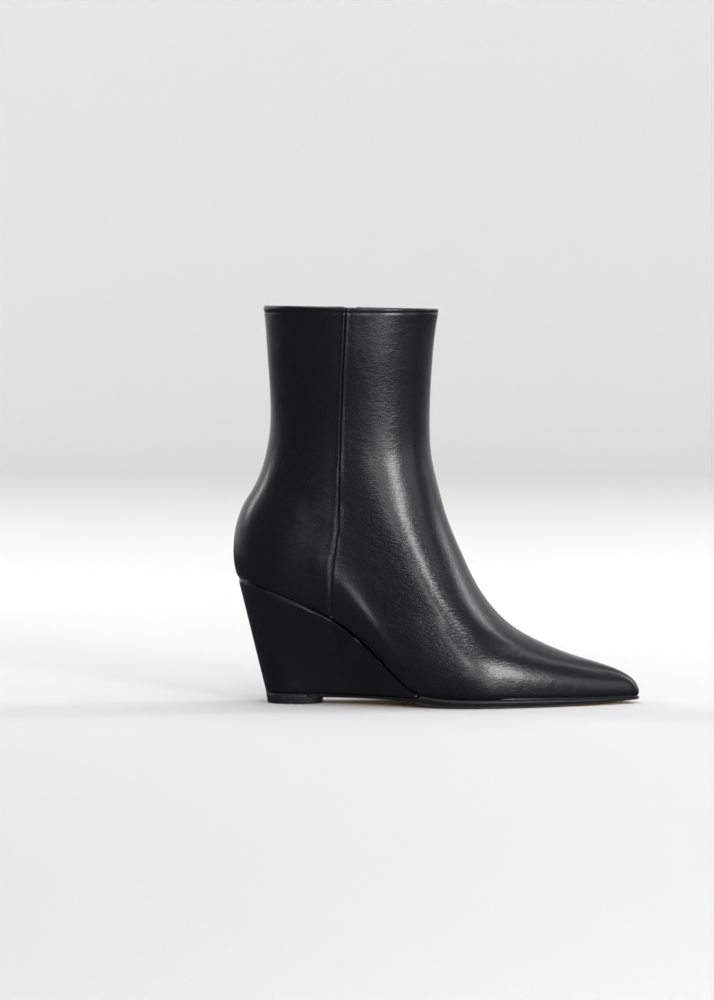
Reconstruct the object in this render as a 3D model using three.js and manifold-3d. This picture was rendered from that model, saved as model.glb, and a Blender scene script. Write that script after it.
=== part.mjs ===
import * as THREE from "three";
import { mergeVertices } from "three/addons/utils/BufferGeometryUtils.js";
import Module from "manifold-3d";

// A woman's pointed ankle boot on a leather-covered wedge, for the right foot.
// Millimetres. +X runs from heel to toe, +Y to the inner side of the foot, +Z up.
// The floor is z = 0. The origin is the middle of the top lift's underside.
// While the pieces are worked out, x is measured from the back of the heel.

// Driving dimensions of the last and the shaft
const bootLength = 256;
const bootHeight = 250;
const ankleHeight = 174;
const wedgeHeight = 79;
const ballWidth = 83;
const heelWidth = 60.6;
const ankleWidth = 57.8;
const collarWidth = 66;
const wall = 2;
const gap = 0.35;
const toeSwing = 5;
const archHollow = 4;

// Driving dimensions of the sole pieces
const liftHeight = 6.5;
const liftLength = 36;
const liftWidth = 28.6;
const liftBack = 20.4;
const liftRake = 1.1;
const liftChamfer = 0.6;
const liftRoundAlong = 0.85;
const liftRoundAcross = 0.75;
const wedgeTipThickness = 1.2;
const wedgeScoop = 1.75;
const outsoleThickness = 2;
const soleEdge = 5.6;
const outsoleLip = 0.6;
const outsoleLipRun = 20;
const outsoleTongue = 9;
const outsoleChamfer = 0.8;
const toeSpring = 2.6;
const insoleThickness = 2.5;
const lastingMargin = 0.8;

// Driving dimensions of the seams and the zip
const seamWidth = 1.2;
const seamLap = 0.9;
const zipEdgeRoll = 0.6;
const zipLength = 171;
const zipSlot = 7;
const zipTapeWidth = 15;
const zipTapeThickness = 0.7;
const zipTapeTuck = 8;
const zipChainWidth = 4.4;
const zipChainThickness = 1.3;
const zipChainStart = 4;
const zipTopMargin = 3;
const sliderWidth = 5.8;
const sliderHeight = 8.4;
const sliderThickness = 2;
const sliderFoot = 0.8;
const sliderDrop = 8.5;
const bridgeWidth = 1.5;
const bridgeHeight = 6.4;
const bridgeThickness = 0.8;
const bridgeRoot = 0.6;
const bridgeCorner = 0.7;
const tunnelHeight = 1.9;
const tabWidth = 4.4;
const tabLength = 14;
const tabThickness = 1;
const tabBar = 1;
const tabHang = 1;
const tabEyeWidth = 2.6;
const tabEyeLength = 4.4;
const tabSlotWidth = 1.5;
const tabSlotLength = 4.6;

// A table is written as rows of numbers under the names of its columns.
function table(columns, rows) {
  return rows.map((row) => Object.fromEntries(columns.map((name, k) => [name, row[k]])));
}

// The line where upper and sole meet, seen from the side. x: share of the boot's length.
// rise: share of the wedge's height above the sole's edge. edge: share of the sole's edge.
const featherLine = table(["x", "rise", "edge"], [
  [0.011, 1.0, 1.0],
  [0.047, 0.97, 1.0],
  [0.086, 0.915, 1.0],
  [0.125, 0.862, 1.0],
  [0.172, 0.799, 1.0],
  [0.24, 0.688, 1.0],
  [0.283, 0.591, 1.0],
  [0.32, 0.481, 1.0],
  [0.357, 0.356, 1.0],
  [0.391, 0.236, 1.0],
  [0.418, 0.138, 1.0],
  [0.438, 0.077, 1.0],
  [0.46, 0.04, 1.0],
  [0.49, 0.018, 1.0],
  [0.53, 0.007, 1.0],
  [0.6, 0.002, 1.0],
  [0.72, 0.0, 0.96],
  [0.86, 0.0, 0.83],
  [1.0, 0.0, 0.75],
]);

// Girths of the foot from the feather line up to the ankle. Each runs round the last from
// its back point to its front point. x: shares of the boot's length. backZ: share of the
// rise from wedge to ankle. frontZ: share of the ankle's height. dip: how far the girth
// follows the feather line's hollow. heel: half-width behind, a share of the heel's width.
// turn: share of the girth's length in which its back turns. outer, inner: half-widths at
// its widest, shares of the ball's width. widest: where that is. taper and fullness shape
// the front end. seam: where the side seam and the zip cross it.
const footGirths = table(
  ["backX", "backZ", "frontX", "frontZ", "dip", "heel", "turn",
    "outer", "inner", "widest", "taper", "fullness", "seam"],
  [
    [0.011, 0.0, 1.0, 0.026, 1.0, 0.455, 0.14, 0.484, 0.494, 0.613, 1.2, 1.4, 0.2395],
    [0.0035, 0.063, 1.0, 0.052, 1.0, 0.475, 0.142, 0.494, 0.503, 0.61, 1.2, 1.4, 0.2455],
    [0.0, 0.147, 0.99, 0.08, 0.97, 0.489, 0.147, 0.494, 0.502, 0.61, 1.25, 1.4, 0.25],
    [0.0004, 0.232, 0.957, 0.115, 0.92, 0.497, 0.156, 0.485, 0.492, 0.615, 1.35, 1.35, 0.258],
    [0.004, 0.316, 0.898, 0.147, 0.86, 0.5, 0.167, 0.468, 0.474, 0.63, 1.55, 1.35, 0.272],
    [0.0125, 0.405, 0.824, 0.181, 0.78, 0.5, 0.182, 0.449, 0.453, 0.65, 1.7, 1.4, 0.289],
    [0.026, 0.495, 0.746, 0.23, 0.68, 0.497, 0.205, 0.426, 0.428, 0.69, 1.8, 1.5, 0.31],
    [0.044, 0.574, 0.672, 0.299, 0.56, 0.493, 0.235, 0.408, 0.408, 0.72, 1.95, 1.6, 0.335],
    [0.0585, 0.647, 0.607, 0.414, 0.43, 0.489, 0.275, 0.389, 0.389, 0.71, 2.0, 1.7, 0.369],
    [0.0703, 0.726, 0.5625, 0.546, 0.31, 0.484, 0.325, 0.375, 0.375, 0.67, 2.0, 1.8, 0.394],
    [0.0793, 0.81, 0.527, 0.672, 0.2, 0.48, 0.38, 0.363, 0.363, 0.625, 2.0, 1.9, 0.418],
    [0.086, 0.9, 0.5027, 0.799, 0.1, 0.477, 0.43, 0.354, 0.354, 0.58, 2.05, 2.0, 0.438],
  ],
);

// Girths of the shaft from the ankle to the collar. backRise and frontRise: shares of the
// rise from ankle to collar. flare: how far the width has grown from the ankle's to the
// collar's. The other columns are as above.
const shaftGirths = table(
  ["backX", "backRise", "frontX", "frontRise", "flare", "turn", "widest", "seam"],
  [
    [0.0906, 0.0, 0.4875, -0.216, 0.0, 0.46, 0.54, 0.451],
    [0.0918, 0.162, 0.4836, 0.04, 0.1, 0.48, 0.525, 0.459],
    [0.0895, 0.365, 0.4855, 0.297, 0.34, 0.49, 0.515, 0.466],
    [0.0852, 0.568, 0.4898, 0.527, 0.66, 0.495, 0.51, 0.475],
    [0.0809, 0.784, 0.4961, 0.764, 0.88, 0.5, 0.505, 0.481],
    [0.0754, 1.0, 0.5055, 0.973, 1.0, 0.5, 0.5, 0.485],
  ],
);

// Plan of the wedge's foot and the outsole behind the ball. x is a share of the boot's
// length, outer and inner are shares of the feather line's half-width at the same x.
const waistPlan = table(["x", "outer", "inner"], [
  [0.08, 0.515, 0.515],
  [0.195, 0.52, 0.52],
  [0.24, 0.565, 0.56],
  [0.3, 0.66, 0.64],
  [0.35, 0.765, 0.745],
  [0.41, 0.895, 0.88],
  [0.457, 0.985, 0.985],
  [0.53, 1.0, 1.0],
  [1.0, 1.0, 1.0],
]);

// Underside of the outsole from the lift to the toe. x is a share of the boot's length,
// lift a share of the lift's height less the outsole's thickness, spring of the toe spring.
const tread = table(["x", "lift", "spring"], [
  [0.18, 1.0, 0.0],
  [0.36, 1.0, 0.0],
  [0.445, 0.72, 0.0],
  [0.5, 0.26, 0.0],
  [0.547, 0.0, 0.0],
  [0.72, 0.0, 0.0],
  [0.86, 0.0, 0.28],
  [1.0, 0.0, 1.0],
]);

// How the girths' formula turns its corners
const swingFrom = 0.4;
const archMiddle = 0.36;
const archSpread = 0.11;
const ballShift = 0.035;
const tipRounding = 20;
const backFullness = 2.15;
const shaftTaper = 2.1;
const shaftFullness = 2;
const roundFullness = 2;
const shortestSwell = 0.05;
const treadFlatFrom = 0.547;
const treadFlatTo = 0.72;

// How finely the forms are divided
const columnsBehindSeam = 8;
const columnsBeforeSeam = 22;
const frontCrowding = 0.25;
const crowdingPower = 4;
const levelSpacing = 0.5;
const levelClearance = 0.1;
const stationClearance = 1;
const wedgeLevels = 6;
const liftSides = 28;
const tapeSteps = 6;
const chainSteps = 2;
const sliderSegments = 6;
const tabSegments = 10;

// Small steps for measuring a slope, halvings of a search, and how far a cutter reaches past
// what it cuts
const levelStep = 0.05;
const columnStep = 0.05;
const shareStep = 0.004;
const seatStep = 0.2;
const halvings = 40;
const cutOvershoot = 1;
const mergeDistance = 1e-4;

const mix = THREE.MathUtils.lerp;
const smooth = (share) => THREE.MathUtils.smoothstep(share, 0, 1);
const outerSide = -1;
const innerSide = 1;

// A natural cubic spline through one column of a table, over another column or the row
// number.
function spline(rows, column, over) {
  const x = rows.map((row, k) => (over ? row[over] : k));
  const y = rows.map((row) => row[column]);
  const n = x.length;
  const bend = new Array(n).fill(0);
  const sweep = new Array(n).fill(0);
  for (let k = 1; k < n - 1; k += 1) {
    const share = (x[k] - x[k - 1]) / (x[k + 1] - x[k - 1]);
    const pivot = share * sweep[k - 1] + 2;
    const rise = (y[k + 1] - y[k]) / (x[k + 1] - x[k]) - (y[k] - y[k - 1]) / (x[k] - x[k - 1]);
    sweep[k] = (share - 1) / pivot;
    bend[k] = ((6 * rise) / (x[k + 1] - x[k - 1]) - share * bend[k - 1]) / pivot;
  }
  bend[n - 1] = 0;
  for (let k = n - 2; k > 0; k -= 1) bend[k] += sweep[k] * bend[k + 1];
  bend[0] = 0;
  return (at) => {
    let k = 0;
    while (k < n - 2 && at > x[k + 1]) k += 1;
    const width = x[k + 1] - x[k];
    const b = (at - x[k]) / width;
    const a = 1 - b;
    const curve = (a ** 3 - a) * bend[k] + (b ** 3 - b) * bend[k + 1];
    return a * y[k] + b * y[k + 1] + (curve * width * width) / 6;
  };
}

// Height of the feather line
const featherRise = spline(featherLine, "rise", "x");
const featherEdge = spline(featherLine, "edge", "x");
function featherZ(x) {
  const share = x / bootLength;
  return soleEdge * featherEdge(share) + (wedgeHeight - soleEdge) * featherRise(share);
}

// The girths in millimetres, foot and shaft in one list. The first lies on the feather line.
const girths = [
  ...footGirths.map((row, k) => ({
    backX: row.backX * bootLength,
    backZ: k === 0 ? featherZ(row.backX * bootLength) : mix(wedgeHeight, ankleHeight, row.backZ),
    frontX: row.frontX * bootLength,
    frontZ: k === 0 ? featherZ(row.frontX * bootLength) : row.frontZ * ankleHeight,
    dip: row.dip,
    heel: row.heel * heelWidth,
    turn: row.turn,
    outer: row.outer * ballWidth,
    inner: row.inner * ballWidth,
    widest: row.widest,
    taper: row.taper,
    fullness: row.fullness,
    seam: row.seam,
  })),
  ...shaftGirths.map((row) => {
    const half = mix(ankleWidth, collarWidth, row.flare) / 2;
    return {
      backX: row.backX * bootLength,
      backZ: mix(ankleHeight, bootHeight, row.backRise),
      frontX: row.frontX * bootLength,
      frontZ: mix(ankleHeight, bootHeight, row.frontRise),
      dip: 0,
      heel: half,
      turn: row.turn,
      outer: half,
      inner: half,
      widest: row.widest,
      taper: shaftTaper,
      fullness: shaftFullness,
      seam: row.seam,
    };
  }),
];
const girthAt = Object.fromEntries(
  Object.keys(girths[0]).map((name) => [name, spline(girths, name)]),
);
const collar = girths.length - 1;
const featherBack = girths[0].backX;
const featherFront = girths[0].frontX;

// How far the feather line lies below the straight line between its two ends
function featherSag(share) {
  const straight = mix(featherZ(featherBack), featherZ(featherFront), share);
  return straight - featherZ(mix(featherBack, featherFront, share));
}

// The foot's middle line swings inwards towards the toe.
function middle(x) {
  const share = Math.max(0, x / bootLength - swingFrom) / (1 - swingFrom);
  return toeSwing * share * share;
}

// Half-width of a girth at a share of its length, 0 at the back and 1 at the front
function halfWidth(level, side, share) {
  const isInner = side === innerSide;
  const widest = girthAt.widest(level) + (isInner ? ballShift * girthAt.dip(level) : 0);
  const fore = isInner ? girthAt.inner(level) : girthAt.outer(level);
  const turn = girthAt.turn(level);
  if (share > widest) {
    const along = (share - widest) / (1 - widest);
    const root = mix(girthAt.fullness(level), roundFullness, along ** tipRounding);
    return fore * Math.max(0, 1 - along ** girthAt.taper(level)) ** (1 / root);
  }
  const toWidest = smooth((share - turn) / Math.max(widest - turn, shortestSwell));
  const body = mix(girthAt.heel(level), fore, toWidest);
  const hollow = isInner ? archHollow * girthAt.dip(level) : 0;
  const waist = hollow * Math.exp(-(((share - archMiddle) / archSpread) ** 2));
  const behind = Math.max(0, 1 - share / turn);
  return (body - waist) * Math.sqrt(1 - behind ** backFullness);
}

// A point on the outside of the upper's form, before any seam is raised on it
function skin(level, side, share) {
  const x = mix(girthAt.backX(level), girthAt.frontX(level), share);
  const straight = mix(girthAt.backZ(level), girthAt.frontZ(level), share);
  const z = straight - girthAt.dip(level) * featherSag(share);
  return new THREE.Vector3(x, middle(x) + side * halfWidth(level, side, share), z);
}

// Columns are counted from the middle of the back (0) round a side to the middle of the
// front. The strip between two of them holds the side seam or the zip.
const lastColumn = columnsBehindSeam + 1 + columnsBeforeSeam;
function shareOfColumn(level, side, column) {
  const length = girthAt.frontX(level) - girthAt.backX(level);
  const strip = (side === innerSide ? zipSlot : seamWidth) / 2 / length;
  const seam = girthAt.seam(level);
  if (column <= columnsBehindSeam) {
    return (seam - strip) * (1 - Math.cos((Math.PI / 2) * (column / columnsBehindSeam)));
  }
  if (column <= columnsBehindSeam + 1) {
    return seam - strip + 2 * strip * (column - columnsBehindSeam);
  }
  const along = (column - columnsBehindSeam - 1) / columnsBeforeSeam;
  const crowded = along * (1 + frontCrowding - frontCrowding * along ** crowdingPower);
  return mix(seam + strip, 1, crowded);
}

function skinAtColumn(level, side, column) {
  if (column < 0) return skinAtColumn(level, -side, -column);
  if (column > lastColumn) return skinAtColumn(level, -side, 2 * lastColumn - column);
  return skin(level, side, shareOfColumn(level, side, column));
}

// Outward direction from points a little way round and a little way up or down
function outward(pointAt, side, level, at, step) {
  const low = Math.max(0, level - levelStep);
  const high = Math.min(collar, level + levelStep);
  const up = pointAt(high, at).sub(pointAt(low, at));
  const round = pointAt(level, at + step).sub(pointAt(level, at - step));
  return round.cross(up).normalize().multiplyScalar(-side);
}

function outwardAtColumn(level, side, column) {
  return outward((l, c) => skinAtColumn(l, side, c), side, level, column, columnStep);
}

// The level at which the zip's middle reaches a height
function levelAtHeight(height) {
  let low = 0;
  let high = collar;
  for (let k = 0; k < halvings; k += 1) {
    const level = (low + high) / 2;
    if (skin(level, innerSide, girthAt.seam(level)).z < height) low = level;
    else high = level;
  }
  return (low + high) / 2;
}

// The levels at which the upper is cut into rings. One of them is the zip's lower end.
const zipEndLevel = levelAtHeight(bootHeight - zipLength);
const levels = [0, 1];
for (let level = 2; level <= collar; level += levelSpacing) levels.push(level);
const nearestToZipEnd = levels.reduce((best, level, k) => (
  Math.abs(level - zipEndLevel) < Math.abs(levels[best] - zipEndLevel) ? k : best
), 0);
levels[nearestToZipEnd] = zipEndLevel;

// The back panel laps over the front one at the side seam, and both zip edges are rolled.
function raised(side, column) {
  const backEdge = column === columnsBehindSeam;
  const frontEdge = column === columnsBehindSeam + 1;
  if (side === outerSide) return backEdge ? seamLap : 0;
  return backEdge || frontEdge ? zipEdgeRoll : 0;
}

function geometryOf(points, triangles) {
  const geometry = new THREE.BufferGeometry();
  const places = points.flatMap((point) => point.toArray());
  geometry.setAttribute("position", new THREE.Float32BufferAttribute(places, 3));
  geometry.setIndex(triangles.flat());
  return geometry;
}

// A wall between two grids of points. Rows run up, columns round. Cells that are open are
// left out, and every free edge is closed from one grid to the other.
function wallBetween(outer, inner, closedRound, isOpen = () => false) {
  const rows = outer.length;
  const columns = outer[0].length;
  const cells = closedRound ? columns : columns - 1;
  const front = (j, i) => j * columns + (i % columns);
  const back = (j, i) => rows * columns + front(j, i);
  const solid = (j, i) => {
    if (j < 0 || j >= rows - 1) return false;
    if (!closedRound && (i < 0 || i >= cells)) return false;
    return !isOpen(j, (i + cells) % cells);
  };
  const triangles = [];
  const quad = (a, b, c, d) => triangles.push([a, b, c], [a, c, d]);
  for (let j = 0; j < rows - 1; j += 1) {
    for (let i = 0; i < cells; i += 1) {
      if (!solid(j, i)) continue;
      const [a, b, c, d] = [front(j, i), front(j, i + 1), front(j + 1, i + 1), front(j + 1, i)];
      const [e, f, g, h] = [back(j, i), back(j, i + 1), back(j + 1, i + 1), back(j + 1, i)];
      quad(a, b, c, d);
      quad(e, h, g, f);
      if (!solid(j - 1, i)) quad(a, e, f, b);
      if (!solid(j + 1, i)) quad(c, g, h, d);
      if (!solid(j, i - 1)) quad(d, h, e, a);
      if (!solid(j, i + 1)) quad(b, f, g, c);
    }
  }
  return geometryOf([...outer.flat(), ...inner.flat()], triangles);
}

// A solid through rings of points, lowest first. Point 0 is at the back, and point i lies
// across from point n - i, so the two ends are closed by strips from side to side.
function stack(rings) {
  const n = rings[0].length;
  const triangles = [];
  for (let j = 0; j < rings.length - 1; j += 1) {
    const low = j * n;
    const high = low + n;
    for (let i = 0; i < n; i += 1) {
      const next = (i + 1) % n;
      triangles.push([low + i, low + next, high + next], [low + i, high + next, high + i]);
    }
  }
  const top = (rings.length - 1) * n;
  for (let i = 0; i < n / 2; i += 1) {
    const corners = [...new Set([i, i + 1, n - i - 1, (n - i) % n])];
    for (let k = 1; k < corners.length - 1; k += 1) {
      const [a, b, c] = [corners[0], corners[k], corners[k + 1]];
      triangles.push([a, c, b], [top + a, top + b, top + c]);
    }
  }
  return geometryOf(rings.flat(), triangles);
}

// Joining and cutting
const wasm = await Module();
wasm.setup();

function solidOf(geometry) {
  const bare = geometry.clone();
  bare.deleteAttribute("normal");
  bare.deleteAttribute("uv");
  const merged = mergeVertices(bare, mergeDistance);
  return new wasm.Manifold(new wasm.Mesh({
    numProp: 3,
    vertProperties: merged.attributes.position.array,
    triVerts: new Uint32Array(merged.index.array),
  }));
}

function geometryOfSolid(solid) {
  const mesh = solid.getMesh();
  const geometry = new THREE.BufferGeometry();
  geometry.setAttribute("position", new THREE.BufferAttribute(mesh.vertProperties, 3));
  geometry.setIndex(new THREE.BufferAttribute(mesh.triVerts, 1));
  return geometry;
}

// Upper: one hollow wall, open at the collar, underneath, and along the zip
function upperRing(level, depth) {
  const point = (side, column) => {
    const offset = depth === 0 ? raised(side, column) : -depth;
    const normal = outwardAtColumn(level, side, column);
    return skinAtColumn(level, side, column).addScaledVector(normal, offset);
  };
  const ring = [];
  for (let column = 0; column <= lastColumn; column += 1) ring.push(point(outerSide, column));
  for (let column = lastColumn - 1; column > 0; column -= 1) ring.push(point(innerSide, column));
  return ring;
}

function upperGeometry() {
  const zipCell = 2 * lastColumn - columnsBehindSeam - 1;
  return wallBetween(
    levels.map((level) => upperRing(level, 0)),
    levels.map((level) => upperRing(level, wall)),
    true,
    (row, cell) => cell === zipCell && levels[row] >= zipEndLevel,
  );
}

// Where the upper's columns stand on the feather line, so that what meets it there is cut
// at the same places
const stations = Object.fromEntries([outerSide, innerSide].map((side) => [
  side,
  Array.from({ length: lastColumn + 1 }, (unused, column) => skinAtColumn(0, side, column).x),
]));
const columnsFrom = (from, to) => Array.from({ length: to - from + 1 }, (unused, k) => from + k);

// Half-width of the feather line, and of the sole under it, which is cut in at the waist
const featherHalf = (side, x) => (
  halfWidth(0, side, Math.min(1, (x - featherBack) / (featherFront - featherBack)))
);
const waistShare = {
  [outerSide]: spline(waistPlan, "outer", "x"),
  [innerSide]: spline(waistPlan, "inner", "x"),
};
function waistHalf(side, x) {
  const turn = 1 - THREE.MathUtils.clamp((x - liftBack) / (liftWidth / 2), 0, 1);
  return waistShare[side](x / bootLength) * featherHalf(side, x) * Math.sqrt(1 - turn ** 2);
}

// Insole: its edge keeps clear of the upper's inside
function insoleRing(height) {
  const point = (side, column) => {
    const normal = outwardAtColumn(0, side, column).setZ(0).normalize();
    const edge = skinAtColumn(0, side, column).addScaledVector(normal, -wall - gap);
    return edge.setZ(featherZ(edge.x) + height);
  };
  const ring = columnsFrom(0, lastColumn).map((column) => point(outerSide, column));
  const innerColumns = columnsFrom(1, lastColumn - 1).reverse();
  return [...ring, ...innerColumns.map((column) => point(innerSide, column))];
}

// Wedge: from the feather line above to the narrow foot on the lift and outsole
const wedgeFloor = liftHeight + gap;
function findWedgeEnd() {
  let low = bootLength * swingFrom;
  let high = featherFront;
  for (let k = 0; k < halvings; k += 1) {
    const x = (low + high) / 2;
    if (featherZ(x) - gap - wedgeFloor > wedgeTipThickness) low = x;
    else high = x;
  }
  return low;
}
const wedgeEnd = findWedgeEnd();
const wedgeColumns = stations[innerSide].filter((x) => x < wedgeEnd - stationClearance).length;

function wedgeRing(height) {
  const point = (side, topX) => {
    const footX = mix(liftBack, wedgeEnd, (topX - featherBack) / (wedgeEnd - featherBack));
    const x = mix(footX, topX, height);
    const half = mix(waistHalf(side, footX), featherHalf(side, topX), height ** wedgeScoop);
    const z = mix(wedgeFloor, featherZ(topX) - gap, height);
    return new THREE.Vector3(x, middle(x) + side * half, z);
  };
  const columns = columnsFrom(1, wedgeColumns - 1);
  return [
    point(outerSide, featherBack),
    ...columns.map((column) => point(outerSide, stations[outerSide][column])),
    point(outerSide, wedgeEnd),
    point(innerSide, wedgeEnd),
    ...columns.reverse().map((column) => point(innerSide, stations[innerSide][column])),
  ];
}

// Top lift: round behind, with a swelling front
function liftRing(z, spread) {
  const rake = liftRake * (1 - z / liftHeight);
  const length = liftLength - rake + 2 * spread;
  const turned = (value, power) => Math.sign(value) * Math.abs(value) ** power;
  return columnsFrom(0, liftSides - 1).map((k) => {
    const angle = (2 * Math.PI * k) / liftSides;
    const along = 1 - turned(Math.cos(angle), liftRoundAlong);
    const across = turned(Math.sin(angle), liftRoundAcross);
    return new THREE.Vector3(
      liftBack + rake - spread + (length / 2) * along,
      outerSide * (liftWidth / 2 + spread) * across,
      z,
    );
  });
}

// Outsole: a thin sheet under the wedge, thicker under the ball, springing up at the toe
const treadLift = spline(tread, "lift", "x");
const treadSpring = spline(tread, "spring", "x");
function treadZ(x) {
  const share = x / bootLength;
  const rise = share < treadFlatFrom ? Math.max(0, treadLift(share)) : 0;
  const spring = share > treadFlatTo ? treadSpring(share) : 0;
  return (liftHeight - outsoleThickness) * Math.min(1, rise) + toeSpring * spring;
}

function outsoleRing(inset, topZ) {
  const start = liftBack + liftLength - outsoleTongue;
  const shelf = wedgeEnd + gap;
  const point = (side, x, onShelf) => {
    const lip = outsoleLip * smooth((x - wedgeEnd) / outsoleLipRun);
    const half = waistHalf(side, x) + lip - inset;
    return new THREE.Vector3(x, middle(x) + side * half, topZ(x, onShelf));
  };
  const columns = columnsFrom(1, lastColumn - 1);
  const behind = columns.filter((k) => (
    stations[outerSide][k] > start + stationClearance
    && stations[innerSide][k] < wedgeEnd - stationClearance
  ));
  const before = columns.filter((k) => stations[outerSide][k] > shelf + stationClearance);
  const along = (side) => [
    point(side, start, false),
    ...behind.map((k) => point(side, stations[side][k], false)),
    point(side, wedgeEnd, false),
    point(side, shelf, true),
    ...before.map((k) => point(side, stations[side][k], true)),
  ];
  const tip = featherFront + outsoleLip - inset;
  return [
    new THREE.Vector3(start, 0, topZ(start, false)),
    ...along(outerSide),
    new THREE.Vector3(tip, middle(tip), topZ(featherFront, true)),
    ...along(innerSide).reverse(),
  ];
}

function outsoleGeometry() {
  const topZ = (x, onShelf) => (onShelf ? featherZ(x) - gap : liftHeight);
  const sheet = solidOf(stack([
    outsoleRing(outsoleChamfer, treadZ),
    outsoleRing(0, (x) => treadZ(x) + outsoleChamfer),
    outsoleRing(0, topZ),
  ]));
  const liftAndGap = solidOf(stack([
    liftRing(-cutOvershoot, gap),
    liftRing(liftHeight + cutOvershoot, gap),
  ]));
  return geometryOfSolid(sheet.subtract(liftAndGap));
}

// A point beside the zip's line, some way across it and some way under the skin
function besideZip(level, across, depth) {
  const length = girthAt.frontX(level) - girthAt.backX(level);
  const share = girthAt.seam(level) + across / length;
  const normal = outward((l, s) => skin(l, innerSide, s), innerSide, level, share, shareStep);
  return skin(level, innerSide, share).addScaledVector(normal, -depth);
}

// A band that follows the zip between two heights
function zipBand(bottom, top, width, steps, depth, thickness) {
  const from = levelAtHeight(bottom);
  const to = levelAtHeight(top);
  const inside = levels.filter((level) => (
    level > from + levelClearance && level < to - levelClearance
  ));
  const grid = (deep) => [from, ...inside, to].map((level) => (
    columnsFrom(0, steps).map((k) => besideZip(level, width * (0.5 - k / steps), deep))
  ));
  return wallBetween(grid(depth), grid(depth + thickness), false);
}

const zipBottom = bootHeight - zipLength;
const zipTop = bootHeight - zipTopMargin;
const tapeDepth = wall + gap;
const chainDepth = wall - zipChainThickness;

// Zip slider: a shield with a bridge over it. Its own x is across the zip, y outwards.
function sliderGeometry() {
  const half = sliderWidth / 2;
  const foot = half * sliderFoot;
  const shield = new THREE.Shape();
  shield.moveTo(-foot, -sliderHeight / 2);
  shield.lineTo(foot, -sliderHeight / 2);
  shield.quadraticCurveTo(half, 0, half, sliderHeight / 4);
  shield.quadraticCurveTo(half, sliderHeight / 2, 0, sliderHeight / 2);
  shield.quadraticCurveTo(-half, sliderHeight / 2, -half, sliderHeight / 4);
  shield.quadraticCurveTo(-half, 0, -foot, -sliderHeight / 2);
  const body = new THREE.ExtrudeGeometry(shield, {
    depth: sliderThickness, bevelEnabled: false, curveSegments: sliderSegments,
  });
  body.rotateX(Math.PI / 2).translate(0, sliderThickness, 0);

  const end = bridgeHeight / 2;
  const top = tunnelHeight + bridgeThickness;
  const arch = new THREE.Shape();
  arch.moveTo(-end, -bridgeRoot);
  arch.lineTo(end, -bridgeRoot);
  arch.lineTo(end, top - bridgeCorner);
  arch.lineTo(end - bridgeCorner, top);
  arch.lineTo(-end + bridgeCorner, top);
  arch.lineTo(-end, top - bridgeCorner);
  const tunnel = new THREE.Path();
  const inside = end - bridgeThickness;
  tunnel.moveTo(-inside, -bridgeRoot / 2);
  tunnel.lineTo(-inside, tunnelHeight);
  tunnel.lineTo(inside, tunnelHeight);
  tunnel.lineTo(inside, -bridgeRoot / 2);
  arch.holes.push(tunnel);
  const bridge = new THREE.ExtrudeGeometry(arch, { depth: bridgeWidth, bevelEnabled: false });
  const lie = new THREE.Matrix4().makeBasis(
    new THREE.Vector3(0, 0, 1),
    new THREE.Vector3(0, 1, 0),
    new THREE.Vector3(-1, 0, 0),
  );
  bridge.applyMatrix4(lie).translate(bridgeWidth / 2, sliderThickness, 0);
  return geometryOfSolid(solidOf(body).add(solidOf(bridge)));
}

// Pull tab: hangs from a bar through the bridge. Its origin is the bar's middle.
function tabGeometry() {
  const half = tabWidth / 2;
  const top = tabBar / 2;
  const bottom = top - tabLength;
  const outline = new THREE.Shape();
  outline.moveTo(-half, top);
  outline.lineTo(-half, bottom + half);
  outline.absarc(0, bottom + half, half, Math.PI, 2 * Math.PI, false);
  outline.lineTo(half, top);
  outline.closePath();
  const eye = new THREE.Path();
  eye.moveTo(-tabEyeWidth / 2, -tabBar / 2);
  eye.lineTo(tabEyeWidth / 2, -tabBar / 2);
  eye.lineTo(tabEyeWidth / 2, -tabBar / 2 - tabEyeLength);
  eye.lineTo(-tabEyeWidth / 2, -tabBar / 2 - tabEyeLength);
  eye.closePath();
  const slot = new THREE.Path();
  const slotTop = bottom + half + tabSlotLength / 2;
  const slotBottom = bottom + half;
  slot.absarc(0, slotTop, tabSlotWidth / 2, 0, Math.PI, false);
  slot.absarc(0, slotBottom, tabSlotWidth / 2, Math.PI, 2 * Math.PI, false);
  slot.closePath();
  outline.holes.push(eye, slot);
  const tab = new THREE.ExtrudeGeometry(outline, {
    depth: tabThickness, bevelEnabled: false, curveSegments: tabSegments,
  });
  return tab.rotateX(Math.PI / 2).translate(0, tabThickness / 2, 0);
}

// The pieces
const blackLeather = new THREE.MeshStandardMaterial({ color: 0x17181a, roughness: 0.38 });
const blackRubber = new THREE.MeshStandardMaterial({ color: 0x1b1a1a, roughness: 0.7 });
const insoleLeather = new THREE.MeshStandardMaterial({ color: 0x2a2624, roughness: 0.8 });
const zipCloth = new THREE.MeshStandardMaterial({ color: 0x101011, roughness: 0.9 });
const blackMetal = new THREE.MeshStandardMaterial({
  color: 0x202022, roughness: 0.45, metalness: 0.8,
});
const nickel = new THREE.MeshStandardMaterial({ color: 0xb9bbbd, roughness: 0.25, metalness: 1 });

const boot = new THREE.Group();
boot.position.x = -(liftBack + (liftLength + liftRake) / 2);

function addPiece(name, geometry, material, parent = boot) {
  const mesh = new THREE.Mesh(geometry, material);
  mesh.name = name;
  parent.add(mesh);
}

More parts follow.
